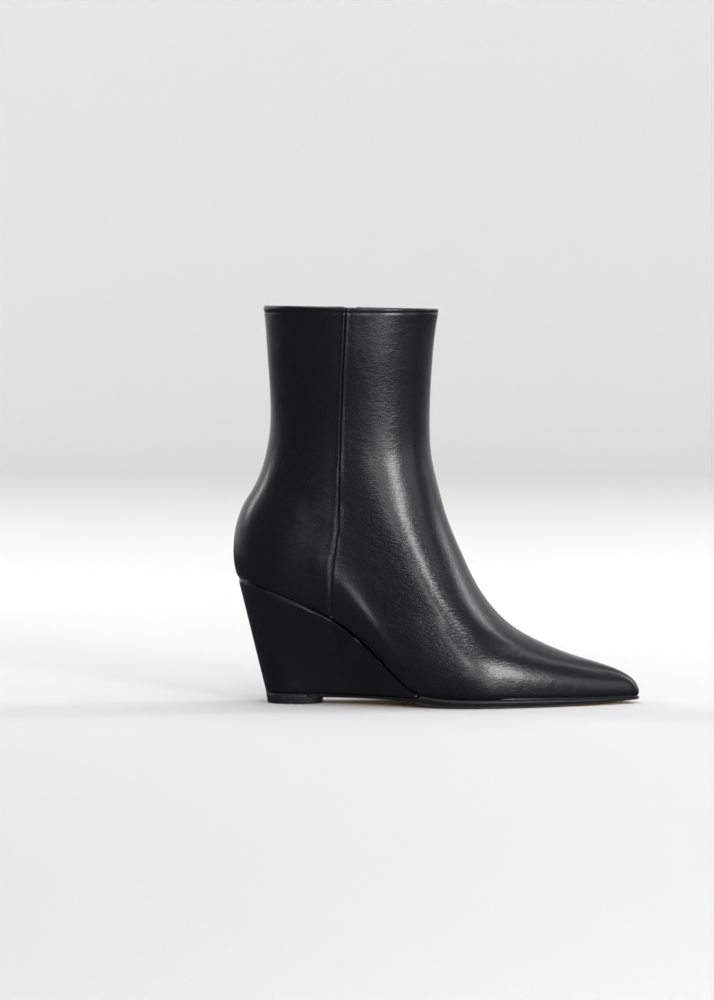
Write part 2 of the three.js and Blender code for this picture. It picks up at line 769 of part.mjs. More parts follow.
addPiece("upper", upperGeometry(), blackLeather);
const insoleRings = [insoleRing(lastingMargin), insoleRing(lastingMargin + insoleThickness)];
addPiece("insole", stack(insoleRings), insoleLeather);
const wedgeHeights = columnsFrom(0, wedgeLevels).map((k) => k / wedgeLevels);
addPiece("wedge", stack(wedgeHeights.map(wedgeRing)), blackLeather);
addPiece("outsole", outsoleGeometry(), blackRubber);
const liftRings = [
  liftRing(0, -liftChamfer),
  liftRing(liftChamfer, 0),
  liftRing(liftHeight, 0),
];
addPiece("top_lift", stack(liftRings), blackRubber);
const tape = zipBand(
  zipBottom - zipTapeTuck, zipTop, zipTapeWidth, tapeSteps, tapeDepth, zipTapeThickness,
);
addPiece("zip_tape", tape, zipCloth);
const chain = zipBand(
  zipBottom + zipChainStart, zipTop, zipChainWidth, chainSteps, chainDepth, zipChainThickness,
);
addPiece("zip_teeth", chain, zipCloth);

// Slider and tab stand on the chain just under the collar.
const sliderLevel = levelAtHeight(bootHeight - sliderDrop);
const sliderSeat = besideZip(sliderLevel, 0, chainDepth - gap);
const seatAbove = besideZip(sliderLevel + seatStep, 0, chainDepth - gap);
const lean = Math.atan2(seatAbove.y - sliderSeat.y, seatAbove.z - sliderSeat.z);
const slider = new THREE.Group();
slider.position.copy(sliderSeat);
slider.rotation.x = -lean;
boot.add(slider);
addPiece("zip_slider", sliderGeometry(), blackMetal, slider);
const hanger = new THREE.Vector3(0, sliderThickness + tunnelHeight / 2, tabHang);
hanger.applyAxisAngle(new THREE.Vector3(1, 0, 0), -lean).add(sliderSeat);
const pull = new THREE.Group();
pull.position.copy(hanger);
boot.add(pull);
addPiece("zip_pull", tabGeometry(), nickel, pull);

export default boot;
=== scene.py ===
"""A woman's ankle boot for the right foot: black leather, covered wedge, zip on the inner side."""
import math

import bmesh
import bpy
from mathutils import Matrix, Vector
from mathutils.kdtree import KDTree


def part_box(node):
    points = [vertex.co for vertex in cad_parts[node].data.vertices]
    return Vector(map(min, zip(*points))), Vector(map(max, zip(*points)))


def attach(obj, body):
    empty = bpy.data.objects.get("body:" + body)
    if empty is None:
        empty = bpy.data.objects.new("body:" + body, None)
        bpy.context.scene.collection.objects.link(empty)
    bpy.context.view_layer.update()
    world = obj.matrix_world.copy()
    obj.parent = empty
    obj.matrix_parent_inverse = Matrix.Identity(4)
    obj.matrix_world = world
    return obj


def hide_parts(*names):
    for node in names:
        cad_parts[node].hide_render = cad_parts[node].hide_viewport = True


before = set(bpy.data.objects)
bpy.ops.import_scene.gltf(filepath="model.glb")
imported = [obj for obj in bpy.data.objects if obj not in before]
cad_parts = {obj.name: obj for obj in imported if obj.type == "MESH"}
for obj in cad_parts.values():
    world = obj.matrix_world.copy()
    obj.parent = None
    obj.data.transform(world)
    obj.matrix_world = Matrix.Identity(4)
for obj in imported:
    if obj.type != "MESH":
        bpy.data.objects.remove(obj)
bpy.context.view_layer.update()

MM = 0.001

# Lines of the boot in mm, each row from low to high: height, then how far forward of the heel
# rest. The side seam and the zip stand over each other, on the outer and the inner side.
SIDE_LINE = [
    (54, 24.5), (66.4, 24.3), (79, 24.3), (85, 24.5), (92.6, 25.6), (99.7, 27.1), (111, 28.3),
    (118, 28.7), (132.9, 29.3), (158.4, 29.9), (174.3, 30.3), (190.6, 30.9), (207.5, 31.6),
    (224.2, 32.5), (249, 33.8), (262, 34.5),
]

# Leather, zip and thread, in mm. Names that end in TURNS or STITCHES are counts, SHARP_BEND is in
# degrees, and COIL_LEAN is a slope.
SEAM_GROOVE = 0.85
SEAM_GROOVE_HALF = 0.5
SEAM_ROLL = 0.22
SEAM_EDGE = 0.06
LAP_HEIGHT = 0.6
LAP_RUN = 12.0
LOW_HOLLOW = 1.5
BACK_GROOVE = 0.5
TOPLINE = 250.0
TOPLINE_FOLD = 3.6
TOPLINE_GROOVE = 0.35
TUCK = 0.9
TUCK_REACH = 1.2
ZIP_END = 79.0
SHARP_BEND = 55
COIL_TURNS = 118
COIL_PITCH = 1.4
COIL_WIRE = 0.95
COIL_TURN_LENGTH = 2.5
COIL_ASIDE = 1.05
COIL_LEAN = 0.22
STITCH_SPACING = 3.0
STITCH_LENGTH = 2.3
THREAD_THICK = 0.62
ZIP_STITCH_ASIDE = 6.4
TOPLINE_STITCHES = 96
BAR_TACK_STITCHES = 15
BAR_TACK_WIDTH = 9.5
BAR_TACK_LENGTH = 2.4
BAR_TACK_DROP = 2.2

# The studio, in metres
FLOOR_RADIUS = 3.2
SWEEP_RADIUS = 1.4
SWEEP_STEPS = 14
WALL_HEIGHT = 4.2
CAMERA_PLACE = Vector((0.1525, -2.5975, 0.265))
CAMERA_AIM = Vector((0.03905, 0, 0.1281))
CAMERA_LENS_MM = 148.5
SENSOR_WIDTH_MM = 36
AIR_STRENGTH = 0.07


def along(line, height):
    """The value of a line's rows at a height, straight between them."""
    if height <= line[0][0]:
        return line[0][1]
    for (low, at_low), (high, at_high) in zip(line, line[1:]):
        if height <= high:
            return at_low + (at_high - at_low) * (height - low) / (high - low)
    return line[-1][1]


def bell(distance, width):
    """A smooth hump: 1 at nought, and nearly nought past twice the width."""
    return math.exp(-((distance / width) ** 2))


def ease(value, start, end):
    """From 0 at start to 1 at end, smoothly."""
    share = min(1.0, max(0.0, (value - start) / (end - start)))
    return share * share * (3 - 2 * share)


def linear(code):
    """The linear colour of an sRGB hex value."""
    parts = [int(code[k:k + 2], 16) / 255 for k in (1, 3, 5)]
    return [p / 12.92 if p <= 0.04045 else ((p + 0.055) / 1.055) ** 2.4 for p in parts] + [1.0]


def alone(piece):
    """Leaves only this piece selected, and active."""
    for other in list(bpy.context.selected_objects):
        other.select_set(False)
    piece.select_set(True)
    bpy.context.view_layer.objects.active = piece


def finished(piece, *modifiers):
    """Adds the modifiers, each a kind and its settings, and applies them one after the other."""
    alone(piece)
    for kind, settings in modifiers:
        modifier = piece.modifiers.new(kind.title(), kind)
        for name, value in settings.items():
            setattr(modifier, name, value)
        bpy.ops.object.modifier_apply(modifier=modifier.name)


def smoothed(levels):
    return "SUBSURF", {"levels": levels, "render_levels": levels}


def kept_full(piece, levels):
    """Moves the corners of a coarse piece out, so that smoothing brings the form back to where
    they were and not inside it."""
    modifier = piece.modifiers.new("Trial", "SUBSURF")
    modifier.levels = levels
    trial = piece.evaluated_get(bpy.context.evaluated_depsgraph_get()).to_mesh()
    shrunk = [vertex.co.copy() for vertex in trial.vertices[:len(piece.data.vertices)]]
    piece.modifiers.remove(modifier)
    for vertex, after in zip(piece.data.vertices, shrunk):
        vertex.co += vertex.co - after
    piece.data.update()


def placed(piece):
    """Puts a finished piece's place, turn and scale into its mesh."""
    alone(piece)
    bpy.ops.object.transform_apply(location=True, rotation=True, scale=True)


def joined(name, pieces):
    """Makes one piece of several."""
    alone(pieces[0])
    for piece in pieces:
        piece.select_set(True)
    bpy.ops.object.join()
    pieces[0].name = name
    return pieces[0]


def traced(node, name):
    """A copy of a CAD node's mesh as a new piece, its loose triangles merged into quads."""
    piece = bpy.data.objects.new(name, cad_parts[node].data.copy())
    bpy.context.collection.objects.link(piece)
    piece.data.materials.clear()
    alone(piece)
    bpy.ops.object.mode_set(mode="EDIT")
    bpy.ops.mesh.select_all(action="SELECT")
    bpy.ops.mesh.remove_doubles(threshold=0.002 * MM)
    bpy.ops.mesh.tris_convert_to_quads(
        face_threshold=math.radians(50), shape_threshold=math.radians(70))
    bpy.ops.object.mode_set(mode="OBJECT")
    return piece


def creased(piece, bend, amount):
    """Holds the edges that bend more than an angle, in degrees. The amount is a number, or a
    function of the edge's middle in mm."""
    form = bmesh.new()
    form.from_mesh(piece.data)
    layer = form.edges.layers.float.get("crease_edge") or form.edges.layers.float.new("crease_edge")
    for edge in form.edges:
        if len(edge.link_faces) == 2 and edge.calc_face_angle() > math.radians(bend):
            middle = (edge.verts[0].co + edge.verts[1].co) / 2 / MM
            edge[layer] = amount(middle) if callable(amount) else amount
    form.to_mesh(piece.data)
    form.free()


def dressed(piece, body, material_slot, *materials):
    """Gives a piece its body and its materials. The material_slot argument is not used."""
    if not piece.data.materials:
        for material in materials:
            piece.data.materials.append(material)
    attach(piece, body)


# Materials. One function makes a material, and one adds a node to it.
def socket_name(word):
    return word.replace("_", " ").title().replace("Ior", "IOR")


def material(name, colour, roughness, **settings):
    """A material whose shader starts from these values."""
    made = bpy.data.materials.new(name)
    made.use_nodes = True
    made.diffuse_color = linear(colour)
    shader = made.node_tree.nodes["Principled BSDF"]
    shader.inputs["Base Color"].default_value = linear(colour)
    shader.inputs["Roughness"].default_value = roughness
    for socket, value in settings.items():
        shader.inputs[socket_name(socket)].default_value = value
    return made, made.node_tree, shader


def add(tree, kind, links=None, **settings):
    """Adds a node: settings are its own or its sockets' values, and links go from a socket's
    name or number to the output that feeds it."""
    made = tree.nodes.new("ShaderNode" + kind)
    for name, value in settings.items():
        if hasattr(made, name):
            setattr(made, name, value)
        else:
            made.inputs[socket_name(name)].default_value = value
    for socket, source in (links or {}).items():
        tree.links.new(source, made.inputs[socket])
    return made


def pattern(tree, kind, size, stretch=(1, 1, 1), turn=(0, 0, 0), **settings):
    """A texture on the piece's own coordinates whose cells are about size mm, stretched along
    the turned axes."""
    coordinates = add(tree, "TexCoord")
    place = add(tree, "Mapping", {"Vector": coordinates.outputs["Object"]})
    place.inputs["Rotation"].default_value = [math.radians(a) for a in turn]
    place.inputs["Scale"].default_value = [1 / (size * MM * s) for s in stretch]
    return add(tree, kind, {"Vector": place.outputs["Vector"]}, scale=1.0, **settings)


def between(tree, factor, low, high):
    """Takes a pattern's 0 to 1 to low to high."""
    return add(tree, "MapRange", {"Value": factor}, to_min=low, to_max=high).outputs["Result"]


def blended(tree, factor, first, second):
    """A colour between two hex values."""
    mix = add(tree, "Mix", {"Factor": factor}, data_type="RGBA")
    mix.inputs[6].default_value = linear(first)
    mix.inputs[7].default_value = linear(second)
    return mix.outputs[2]


def embossed(tree, shader, *layers):
    """Bumps, each a height output and its depth in mm, laid over one another."""
    normal = None
    for height, depth in layers:
        links = {"Height": height}
        if normal:
            links["Normal"] = normal
        normal = add(tree, "Bump", links, strength=1.0, distance=depth * MM).outputs["Normal"]
    tree.links.new(normal, shader.inputs["Normal"])
    return normal


def worked(tree):
    """How much the hide is worked over the last: the piece's own attribute, 0 to 1."""
    return add(tree, "Attribute", attribute_name="worked").outputs["Fac"]


def calf_leather(name, wrinkle):
    """Aniline calf, glazed: near black with a soft gloss, fine pores, and short wrinkles across
    the foot where the hide is worked over the last."""
    made, tree, shader = material(name, "#101116", 0.31, coat_weight=0.2, coat_roughness=0.2)
    clouds = pattern(tree, "TexNoise", 22, detail=3.0, roughness=0.55).outputs["Fac"]
    tree.links.new(blended(tree, clouds, "#0c0e13", "#15161b"), shader.inputs["Base Color"])
    # Pores of 0.3 mm would not show at this distance, so they are drawn about 1 mm apart
    pores = pattern(tree, "TexVoronoi", 1.1, feature="F1").outputs["Distance"]
    fibre = pattern(tree, "TexNoise", 1.6, detail=4.0, roughness=0.6).outputs["Fac"]
    creases = pattern(tree, "TexNoise", 1.25, (2.6, 2.6, 1), (0, 12, 0), detail=2.0,
                      roughness=0.5, distortion=0.5).outputs["Fac"]
    tree.links.new(between(tree, fibre, 0.26, 0.36), shader.inputs["Roughness"])
    fine = add(tree, "Math", {0: creases, 1: worked(tree)}, operation="MULTIPLY").outputs[0]
    embossed(tree, shader, (clouds, 0.5), (fine, wrinkle), (creases, 0.03), (fibre, 0.03),
             (pores, 0.035))
    return made


def lining_leather():
    """Pigskin lining: brown, matte, with pores in the surface and no finish on it."""
    made, tree, shader = material("pigskin_lining_matte", "#3b322c", 0.72, specular_ior_level=0.3)
    clouds = pattern(tree, "TexNoise", 14, detail=4.0).outputs["Fac"]
    tree.links.new(blended(tree, clouds, "#332b26", "#463c35"), shader.inputs["Base Color"])
    pores = pattern(tree, "TexVoronoi", 1.4, feature="F1").outputs["Distance"]
    nap = pattern(tree, "TexNoise", 0.6, detail=3.0).outputs["Fac"]
    embossed(tree, shader, (clouds, 0.3), (pores, 0.08), (nap, 0.03))
    return made


def sole_edge_resin():
    """Resin rubber edge, cut, inked black and brushed: satin, with faint lines along the cut."""
    made, tree, shader = material("resin_rubber_inked_edge", "#17171a", 0.42,
                                  specular_ior_level=0.5)
    cut = pattern(tree, "TexNoise", 0.5, (30, 30, 1), detail=2.0).outputs["Fac"]
    worn = pattern(tree, "TexNoise", 9, detail=3.0).outputs["Fac"]
    tree.links.new(blended(tree, worn, "#131315", "#202022"), shader.inputs["Base Color"])
    tree.links.new(between(tree, worn, 0.36, 0.54), shader.inputs["Roughness"])
    embossed(tree, shader, (cut, 0.06))
    return made


def sole_tread_resin():
    """Resin rubber tread, sanded: warm tan with a fine even stipple, matte."""
    made, tree, shader = material("resin_rubber_tan_tread", "#a98e6c", 0.62,
                                  specular_ior_level=0.4)
    worn = pattern(tree, "TexNoise", 16, detail=4.0).outputs["Fac"]
    tree.links.new(blended(tree, worn, "#9c8262", "#b59a77"), shader.inputs["Base Color"])
    stipple = pattern(tree, "TexVoronoi", 1.2, feature="F1").outputs["Distance"]
    embossed(tree, shader, (stipple, 0.12))
    return made


def lift_rubber():
    """Moulded nitrile top lift: dark grey-black and matte, faintly mottled by the mould."""
    made, tree, shader = material("nitrile_rubber_moulded", "#1b1b1c", 0.55,
                                  specular_ior_level=0.45)
    mottle = pattern(tree, "TexNoise", 3, detail=4.0).outputs["Fac"]
    tree.links.new(blended(tree, mottle, "#161617", "#232324"), shader.inputs["Base Color"])
    embossed(tree, shader, (mottle, 0.08))
    return made


def zip_cloth():
    """Polyester zip tape, woven in a fine herringbone of 0.6 mm threads: black, dull."""
    made, tree, shader = material("polyester_tape_woven", "#0f0f11", 0.85,
                                  specular_ior_level=0.25, sheen_weight=0.25)
    # The threads are drawn 0.8 mm apart so that they show
    warp = pattern(tree, "TexWave", 5.0, wave_type="BANDS", bands_direction="X").outputs["Fac"]
    weft = pattern(tree, "TexWave", 5.0, (1, 1, 1), (0, 35, 0), wave_type="BANDS",
                   bands_direction="Z").outputs["Fac"]
    lint = pattern(tree, "TexNoise", 0.7, detail=2.0).outputs["Fac"]
    tree.links.new(blended(tree, weft, "#0b0b0d", "#1a1a1d"), shader.inputs["Base Color"])
    embossed(tree, shader, (warp, 0.1), (weft, 0.1), (lint, 0.03))
    return made


def coil_nylon():
    """Nylon monofilament coil, heat-set: smooth black plastic with small bright glints."""
    made, tree, shader = material("nylon_coil_heat_set", "#17171a", 0.3, specular_ior_level=0.5)
    haze = pattern(tree, "TexNoise", 2.5, detail=2.0).outputs["Fac"]
    tree.links.new(between(tree, haze, 0.24, 0.4), shader.inputs["Roughness"])
    tree.links.new(blended(tree, haze, "#131316", "#202024"), shader.inputs["Base Color"])
    return made


def lacquered_zinc():
    """Die-cast zinc slider under black lacquer: glossy, softened at its corners."""
    made, tree, shader = material("die_cast_zinc_black_lacquer", "#1a1a1d", 0.26, metallic=0.35,
                                  coat_weight=0.5, coat_roughness=0.12)
    haze = pattern(tree, "TexNoise", 1.8, detail=3.0).outputs["Fac"]
    tree.links.new(between(tree, haze, 0.22, 0.36), shader.inputs["Roughness"])
    embossed(tree, shader, (haze, 0.02))
    return made


def plated_nickel():
    """Stamped brass tab, nickel plated and tumbled: bright, very slightly warm, hazed by
    handling."""
    made, tree, shader = material("nickel_plate_tumbled", "#c3c1bc", 0.2, metallic=1.0)
    haze = pattern(tree, "TexNoise", 2.2, detail=4.0).outputs["Fac"]
    tree.links.new(between(tree, haze, 0.14, 0.32), shader.inputs["Roughness"])
    tree.links.new(blended(tree, haze, "#b9b7b2", "#cfcdc9"), shader.inputs["Base Color"])
    embossed(tree, shader, (haze, 0.015))
    return made


def bonded_thread():
    """Bonded nylon thread, three-ply: black with a slight shine."""
    made, tree, shader = material("nylon_thread_bonded", "#0e0e10", 0.5, specular_ior_level=0.4)
    twist = pattern(tree, "TexWave", 2.5, (1, 1, 1), (0, 40, 0), wave_type="BANDS",
                    bands_direction="Z").outputs["Fac"]
    tree.links.new(blended(tree, twist, "#0b0b0d", "#19191b"), shader.inputs["Base Color"])
    embossed(tree, shader, (twist, 0.05))
    return made


def studio_paper():
    """Matt seamless studio paper: pale, even, without gloss."""
    made, tree, shader = material("studio_paper_matte", "#f0f0f0", 0.9, specular_ior_level=0.1)
    fibre = pattern(tree, "TexNoise", 3, detail=3.0).outputs["Fac"]
    tree.links.new(blended(tree, fibre, "#efefef", "#f2f2f2"), shader.inputs["Base Color"])
    embossed(tree, shader, (fibre, 0.02))
    return made


black_calf = calf_leather("calf_leather_glazed_black", 0.3)
black_calf_flat = calf_leather("calf_leather_glazed_wedge_cover", 0.04)
brown_lining = lining_leather()


# The upper. Its faces are sorted into the outside, which is calf, and the inside, which is
# lining, before they are smoothed.
def wall_from(first, bend):
    """The faces reached from the first without crossing an edge sharper than bend degrees."""
    reached = {first}
    waiting = [first]
    while waiting:
        for edge in waiting.pop().edges:
            if len(edge.link_faces) == 2 and edge.calc_face_angle() < math.radians(bend):
                fresh = [face for face in edge.link_faces if face not in reached]
                reached.update(fresh)
                waiting.extend(fresh)
    return reached


def lined(piece):
    """Marks the upper's inner wall as lining."""
    form = bmesh.new()
    form.from_mesh(piece.data)
    form.faces.ensure_lookup_table()
    innermost = min(form.faces, key=lambda f: abs(f.calc_center_median().x / MM - 5)
                    + abs(f.calc_center_median().z / MM - 180)
                    + (0 if f.normal.y > 0.5 and f.calc_center_median().y < 0 else 1000))
    for face in wall_from(innermost, SHARP_BEND):
        face.material_index = 1
    form.to_mesh(piece.data)
    form.free()


def upper_hold(middle):
    """How firmly each edge of the upper is held: the bottom edge firmly, the rest softly."""
    if middle.z > TOPLINE - 6:
        return 0.35
    if middle.y > 20 and abs(middle.x - along(SIDE_LINE, middle.z)) < 6 and middle.z > ZIP_END - 4:
        return 0.4
    return 0.75


def strip_through(edge, within):
    """All the edges that lie side by side with this one, quad after quad, as long as their
    middles, in mm, are within a region."""
    strip = {edge}
    waiting = [edge]
    while waiting:
        current = waiting.pop()
        for face in current.link_faces:
            if len(face.verts) != 4:
                continue
            for other in face.edges:
                if set(other.verts) & set(current.verts) or other in strip:
                    continue
                if within((other.verts[0].co + other.verts[1].co) / 2 / MM):
                    strip.add(other)
                    waiting.append(other)
    return strip


def refined(piece, places, upright, cuts, within):
    """Cuts the strips of quads that pass through these places, in mm, into thinner ones, as far
    as they are within a region."""
    form = bmesh.new()
    form.from_mesh(piece.data)
    strips = set()
    for place in places:
        target = Vector(place) * MM

        def miss(edge):
            run = edge.verts[1].co - edge.verts[0].co
            is_upright = abs(run.z) > 0.7 * run.length
            near = ((edge.verts[0].co + edge.verts[1].co) / 2 - target).length
            return near if is_upright == upright else near + 1

        nearest = min(form.edges, key=miss)
        if nearest not in strips:
            strips |= strip_through(nearest, within)
    bmesh.ops.subdivide_edges(form, edges=list(strips), cuts=cuts, use_grid_fill=True)
    form.to_mesh(piece.data)
    form.free()


def by_side_seam(middle):
    """Whether a place is on the outer side, beside its seam."""
    return middle.y < -10 and abs(middle.x - along(SIDE_LINE, middle.z)) < 9


def by_back_seam(middle):
    """Whether a place is beside the seam up the back."""
    return middle.x < 0 and abs(middle.y) < 7


def by_topline(middle):
    """Whether a place is close under the top edge."""
    return middle.z > TOPLINE - 9


def pressed(piece, depth_at):
    """Moves each point along its normal by what depth_at gives for its place, in mm. The points
    of the lining stay."""
    mesh = piece.data
    outside = set()
    for face in mesh.polygons:
        if face.material_index == 0:
            outside.update(face.vertices)
    normals = [vertex.normal.copy() for vertex in mesh.vertices]
    for k in outside:
        vertex = mesh.vertices[k]
        depth = depth_at(vertex.co / MM, normals[k])
        if depth:
            vertex.co += normals[k] * depth * MM
    mesh.update()


def seam_relief(place, normal):
    """The side seam: a groove, a soft roll behind it, and the lap behind that drawn flat."""
    on_outside = place.y < -15
    on_inside = place.y > 15 and place.z < ZIP_END - 3
    if not (on_outside or on_inside) or abs(normal.z) > 0.8:
        return 0.0
    ahead = place.x - along(SIDE_LINE, place.z)
    if not -LAP_RUN < ahead < 7:
        return 0.0
    top = 1 - 0.6 * ease(place.z, TOPLINE - 1.2, TOPLINE)
    lap = LAP_HEIGHT * ease(ahead, -LAP_RUN, 0) * (1 - ease(ahead, -0.4, 0.9)) * on_outside
    roll = SEAM_ROLL * bell(ahead + 1.5, 0.9)
    groove = -SEAM_GROOVE * bell(ahead, SEAM_GROOVE_HALF)
    edge = SEAM_EDGE * bell(ahead - 1.4, 0.7)
    return top * (roll + groove + edge) - lap


def back_relief(place, normal):
    """The seam up the middle of the back."""
    if normal.x > -0.3 or place.z < 76:
        return 0.0
    aside = place.y
    if abs(aside) > 5:
        return 0.0
    return 0.12 * bell(abs(aside) - 1.4, 0.8) - BACK_GROOVE * bell(aside, 0.5)


def topline_relief(place, normal):
    """The folded edge round the top."""
    below = TOPLINE - place.z
    if below > 10 or abs(normal.z) > 0.7:
        return 0.0
    return 0.1 * bell(below - 1.2, 1.0) - TOPLINE_GROOVE * bell(below - TOPLINE_FOLD, 0.55)


def fold(place, start, end, width, depth):
    """A soft trough from start to end, each in mm: forward and up, seen from the side."""
    run = (end[0] - start[0], end[1] - start[1])
    length = math.hypot(*run)
    share = ((place.x - start[0]) * run[0] + (place.z - start[1]) * run[1]) / length ** 2
    aside = ((place.x - start[0]) * run[1] - (place.z - start[1]) * run[0]) / length
    ends = ease(share, -0.25, 0.25) * (1 - ease(share, 0.75, 1.25))
    trough = -bell(aside, width) + 0.45 * bell(aside - 1.9 * width, width)
    return depth * ends * trough


def body_relief(place):
    """Creases and hollows of soft leather on the last: behind the ankle on the inner side, as
    the other boot of the pair shows, and slight ones over the instep."""
    depth = 0.0
    if place.y > 0:
        inner = ease(place.y, 2, 12)
        depth += inner * fold(place, (-8, 152), (14, 112), 5.5, 1.1)
        depth += inner * fold(place, (-16, 150), (2, 156), 6.0, 0.9)
        depth += inner * fold(place, (40, 118), (72, 132), 7.0, 0.7)
    else:
        outer = ease(-place.y, 2, 12)
        depth += outer * fold(place, (-10, 140), (12, 128), 6.5, 0.5)
        depth -= LOW_HOLLOW * bell(place.x - 46, 24) * (1 - ease(place.z, 44, 82))
    return depth


def upper_relief(place, normal):
    return (seam_relief(place, normal) + back_relief(place, normal)
            + topline_relief(place, normal) + body_relief(place))


def rim_of(node, facing):
    """A search tree of points half a millimetre apart along the sharp edges round a node's
    upward (1) or downward (-1) face, in mm."""
    form = bmesh.new()
    form.from_mesh(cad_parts[node].data)
    bmesh.ops.remove_doubles(form, verts=form.verts, dist=0.002 * MM)
    points = []
    for edge in form.edges:
        if len(edge.link_faces) != 2 or edge.calc_face_angle() < math.radians(45):
            continue
        if max(face.normal.z * facing for face in edge.link_faces) < 0.5:
            continue
        start, end = (vertex.co / MM for vertex in edge.verts)
        steps = max(1, round((end - start).length / 0.5))
        points += [start.lerp(end, k / steps) for k in range(steps + 1)]
    form.free()
    tree = KDTree(len(points))
    for k, point in enumerate(points):
        tree.insert(point, k)
    tree.balance()
    return tree


def tucked(piece, rim, depth):
    """Draws the leather in towards a rim, level with the floor, so that a soft crease is left
    where two pieces meet."""
    normals = [vertex.normal.copy() for vertex in piece.data.vertices]
    for vertex, normal in zip(piece.data.vertices, normals):
        level = Vector((normal.x, normal.y, 0))
        if level.length < 0.35:
            continue
        distance = rim.find(vertex.co / MM)[2]
        if distance < 3 * TUCK_REACH:
            vertex.co -= level.normalized() * depth * bell(distance, TUCK_REACH) * MM
    piece.data.update()


def work_on(place):
    """Where fine wrinkles show: along the instep on both sides, and on the shaft's front."""
    start, end = (66, 118), (98, 42)
    run = (end[0] - start[0], end[1] - start[1])
    length = math.hypot(*run)
    share = ((place.x - start[0]) * run[0] + (place.z - start[1]) * run[1]) / length ** 2
    aside = ((place.x - start[0]) * run[1] - (place.z - start[1]) * run[0]) / length
    instep = bell(aside, 17) * ease(share, -0.3, 0.2) * (1 - ease(share, 0.9, 1.4))
    shaft = 0.22 * bell(place.x - 56, 22) * ease(place.z, 115, 150)
    toe = 0.35 * bell(place.x - 136, 20) * bell(place.z - 22, 14)
    return min(1.0, instep + shaft + toe + 0.08)


def marked(piece, share_of):
    """Writes the attribute that the leather reads."""
    layer = piece.data.attributes.new("worked", "FLOAT", "POINT")
    for vertex, item in zip(piece.data.vertices, layer.data):
        item.value = share_of(vertex.co / MM)


upper = traced("upper", "upper_leather")
lined(upper)
creased(upper, SHARP_BEND, upper_hold)
kept_full(upper, 2)
finished(upper, smoothed(2))
side_seam = along(SIDE_LINE, 165)
side_places = [(side_seam + ahead, -28.9, 165) for ahead in
               (-7.5, -5, -3, -1.8, -0.8, 0, 0.8, 1.6, 2.6, 3.8, 5)]
back_places = [(-16.5, aside, 172) for aside in (-4.2, -3, -2, -1, 0, 1, 2, 3, 4.2)]
top_places = [(60, -32.5, TOPLINE - below) for below in (0.4, 1.2, 2, 3, 4, 5, 6)]
refined(upper, side_places, False, 3, by_side_seam)
refined(upper, back_places, False, 2, by_back_seam)
refined(upper, top_places, True, 2, by_topline)
pressed(upper, upper_relief)
tucked(upper, rim_of("upper", -1), TUCK)
marked(upper, work_on)
upper.data.materials.append(black_calf)
upper.data.materials.append(brown_lining)
dressed(upper, "boot", "upper_leather")
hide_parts("upper")


# The wedge, in the same leather, drawn tight over its core
def wedge_relief(place, normal):
    """The outer side follows the upper's hollow above it."""
    if place.y > 0:
        return 0.0
    return -LOW_HOLLOW * bell(place.x - 46, 24) * ease(place.z, 18, 44)


wedge = traced("wedge", "wedge_cover")
creased(wedge, 45, 0.6)
kept_full(wedge, 2)
finished(wedge, smoothed(2))
pressed(wedge, wedge_relief)
tucked(wedge, rim_of("wedge", 1), TUCK)
dressed(wedge, "boot", "wedge_leather", black_calf_flat)
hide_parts("wedge")

insole = traced("insole", "insole_sock")
creased(insole, 45, 0.5)
finished(insole, smoothed(1))
dressed(insole, "boot", "insole_leather", brown_lining)
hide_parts("insole")

outsole = traced("outsole", "outsole_edge_and_tread")
creased(outsole, 40, 0.75)
kept_full(outsole, 2)
finished(outsole, smoothed(2))
outsole.data.materials.append(sole_edge_resin())
outsole.data.materials.append(sole_tread_resin())
for face in outsole.data.polygons:
    if face.normal.z < -0.75:
        face.material_index = 1
dressed(outsole, "boot", "sole_rubber")
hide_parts("outsole")

top_lift = traced("top_lift", "top_lift_rubber")
creased(top_lift, 40, 0.9)
kept_full(top_lift, 2)
finished(top_lift, smoothed(2))
dressed(top_lift, "boot", "lift_rubber", lift_rubber())
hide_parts("top_lift")

zip_tape = traced("zip_tape", "zip_tape_cloth")
creased(zip_tape, 50, 0.7)
finished(zip_tape, smoothed(1))
dressed(zip_tape, "boot", "zip_cloth", zip_cloth())
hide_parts("zip_tape")

for piece in (upper, wedge, insole, outsole, top_lift, zip_tape):
    alone(piece)
    bpy.ops.object.shade_smooth_by_angle(angle=math.radians(50))


def repeated(name, model, places):
    """One piece of a model's copies, each put at its place by a matrix. The model goes."""
    copies = []
    for place in places:
        copy = bpy.data.objects.new(name, model.data.copy())
        bpy.context.collection.objects.link(copy)
        copy.data.transform(place)
        copies.append(copy)
    bpy.data.objects.remove(model)
    return joined(name, copies)


def rod(length, thick, sides):
    """A short thread or wire with rounded ends, lying along X at the origin, sizes in mm."""
    bpy.ops.mesh.primitive_cylinder_add(
        vertices=sides, radius=thick / 2 * MM, depth=length * MM,
        rotation=(0, math.radians(90), 0))
    made = bpy.context.object
    placed(made)
    finished(made, ("BEVEL", {"width": thick * 0.3 * MM, "segments": 2, "limit_method": "ANGLE",
                              "angle_limit": math.radians(60)}))
    bpy.ops.object.shade_smooth()
    return made


def standing(place, ahead, out):
    """A matrix that takes X to ahead and Z to out, at a place in metres."""
    ahead = ahead.normalized()
    side = out.cross(ahead).normalized()
    up = ahead.cross(side)
    turn = Matrix((ahead, side, up)).transposed().to_4x4()
    return Matrix.Translation(place) @ turn


